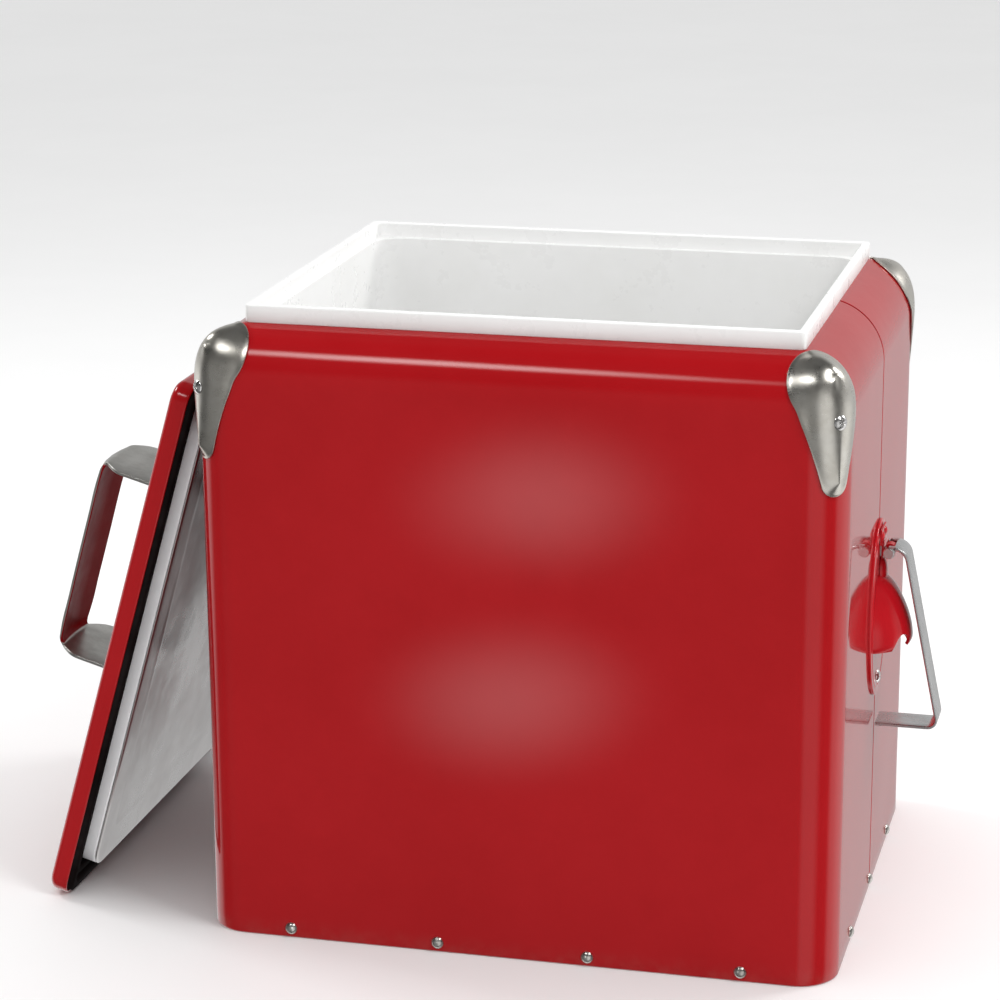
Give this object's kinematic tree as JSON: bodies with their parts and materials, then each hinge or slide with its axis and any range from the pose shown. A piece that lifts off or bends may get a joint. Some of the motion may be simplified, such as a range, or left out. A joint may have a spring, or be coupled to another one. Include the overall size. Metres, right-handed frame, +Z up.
{
  "type": "vintage soda cooler chest",
  "caption": "Painted steel picnic cooler with a white liner, bright corner guards, a loose lid with a strap handle, side swing handles and a wall bottle opener.",
  "frame": {"origin": "centre of the flat panel under the chest that it stands on", "axes": "+Z up, +X towards the wall with the bottle opener, -Y towards the front"},
  "size_m": [0.4645, 0.2594, 0.3111],
  "materials": {
    "red_paint": "gloss enamel, deep red",
    "opener_paint": "gloss enamel, red",
    "white_liner": "satin white plastic",
    "foam": "rigid foam",
    "guard_steel": "satin, pressed",
    "handle_steel": "polished, light grain",
    "grip_steel": "satin with fine scratches",
    "lid_steel": "satin, slightly mottled",
    "screw_chrome": "bright plated",
    "rivet_steel": "plated, dull",
    "zinc_sheet": "zinc plated",
    "black_rubber": "matt"
  },
  "bodies": {
    "chest": {"front_shell": "red_paint", "rear_shell": "red_paint", "base_pan": "zinc_sheet", "base_rivets": "rivet_steel", "liner": "white_liner", "body_insulation": "foam", "guard_front_left": "guard_steel", "guard_front_right": "guard_steel", "guard_rear_left": "guard_steel", "guard_rear_right": "guard_steel", "guard_screws": "screw_chrome", "opener_plate": "opener_paint", "bottle_opener": "opener_paint", "opener_screws": "screw_chrome", "right_hinge_bracket": "screw_chrome", "right_hinge_rivets": "rivet_steel", "right_hinge_pin": "screw_chrome", "left_plate": "opener_paint", "left_plate_screws": "screw_chrome", "left_hinge_bracket": "screw_chrome", "left_hinge_rivets": "rivet_steel", "left_hinge_pin": "screw_chrome"},
    "right_swing_handle": {"right_handle": "handle_steel"},
    "left_swing_handle": {"left_handle": "handle_steel"},
    "lid": {"lid_pan": "red_paint", "lid_seal": "black_rubber", "lid_inner_pan": "lid_steel", "lid_insulation": "foam", "lid_handle": "grip_steel", "lid_handle_rivets": "rivet_steel", "lid_backing_plates": "zinc_sheet"}
  },
  "joints": [
    {"name": "right_handle_swing", "type": "hinge", "parent": "chest", "child": "right_swing_handle", "pos_m": [0.161, 0, 0.18], "axis": [0, -1, 0], "range_deg": [0, 80]},
    {"name": "left_handle_swing", "type": "hinge", "parent": "chest", "child": "left_swing_handle", "pos_m": [-0.161, 0, 0.18], "axis": [0, 1, 0], "range_deg": [0, 6]},
    {"name": "lid_lift", "type": "slide", "parent": "chest", "child": "lid", "axis": [-0.4, 0, 0.9165], "range_m": [0, 0.33]}
  ]
}
